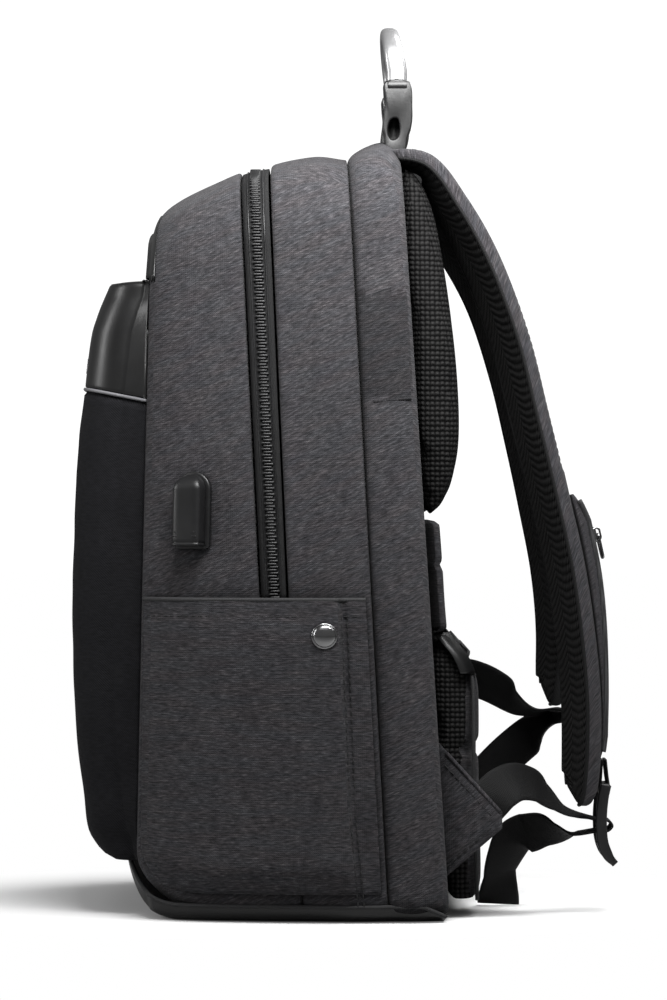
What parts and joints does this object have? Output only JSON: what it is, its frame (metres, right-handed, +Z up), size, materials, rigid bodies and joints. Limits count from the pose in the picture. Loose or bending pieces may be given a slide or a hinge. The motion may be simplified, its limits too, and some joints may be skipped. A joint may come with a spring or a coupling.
{
  "type": "laptop backpack",
  "caption": "Laptop backpack with main, laptop and front compartments, side pockets, charging port, arch handle, back pads and padded shoulder straps with webbing.",
  "frame": {"origin": "middle of the flat base, on the surface that the bag stands on", "axes": "+Z up, -Y the front with the pocket, +Y the back with the straps, +X the wearer's right"},
  "size_m": [0.3228, 0.3228, 0.5309],
  "materials": {
    "melange_fabric": "grey melange woven cloth",
    "twill_fabric": "dark blue-black twill",
    "coated_fabric": "smooth black coated cloth, satin",
    "air_mesh": "black air mesh",
    "zip_tape": "black zip tape and coil",
    "webbing": "black webbing",
    "piping": "thin pale piping",
    "moulded_plastic": "satin black plastic",
    "bright_metal": "polished",
    "pale_metal": "smooth satin"
  },
  "bodies": {
    "bag": {"main_front_shell": "melange_fabric", "main_rear_shell": "melange_fabric", "laptop_shell": "melange_fabric", "front_upper_panel": "coated_fabric", "front_pocket": "twill_fabric", "front_yoke": "coated_fabric", "yoke_piping": "piping", "badge_plate": "bright_metal", "base_panel": "twill_fabric", "main_zip_tape": "zip_tape", "main_zip_coil": "zip_tape", "main_zip_slider": "bright_metal", "laptop_zip": "zip_tape", "side_pocket_right": "melange_fabric", "side_pocket_left": "melange_fabric", "snap_right": "bright_metal", "snap_left": "bright_metal", "usb_port": "moulded_plastic", "upper_back_pad": "air_mesh", "back_band": "melange_fabric", "lumbar_pad": "air_mesh", "lumbar_zip": "zip_tape", "handle_grip": "pale_metal", "handle_tab_right": "coated_fabric", "handle_tab_left": "coated_fabric", "strap_pad_right": "air_mesh", "strap_pad_left": "air_mesh", "strap_pocket": "melange_fabric", "strap_zip": "zip_tape", "strap_slider": "bright_metal", "wing_right": "melange_fabric", "wing_left": "melange_fabric", "buckle_right": "moulded_plastic", "buckle_left": "moulded_plastic", "buckle_loop_right": "webbing", "buckle_loop_left": "webbing", "webbing_right": "webbing", "webbing_left": "webbing"},
    "pull": {"strap_pull": "bright_metal"}
  },
  "joints": [
    {"name": "pull_hinge", "type": "hinge", "parent": "bag", "child": "pull", "pos_m": [0.09211, 0.17991, 0.22408], "axis": [0.9785, 0.1903, 0.0799], "range_deg": [0, 150]}
  ]
}
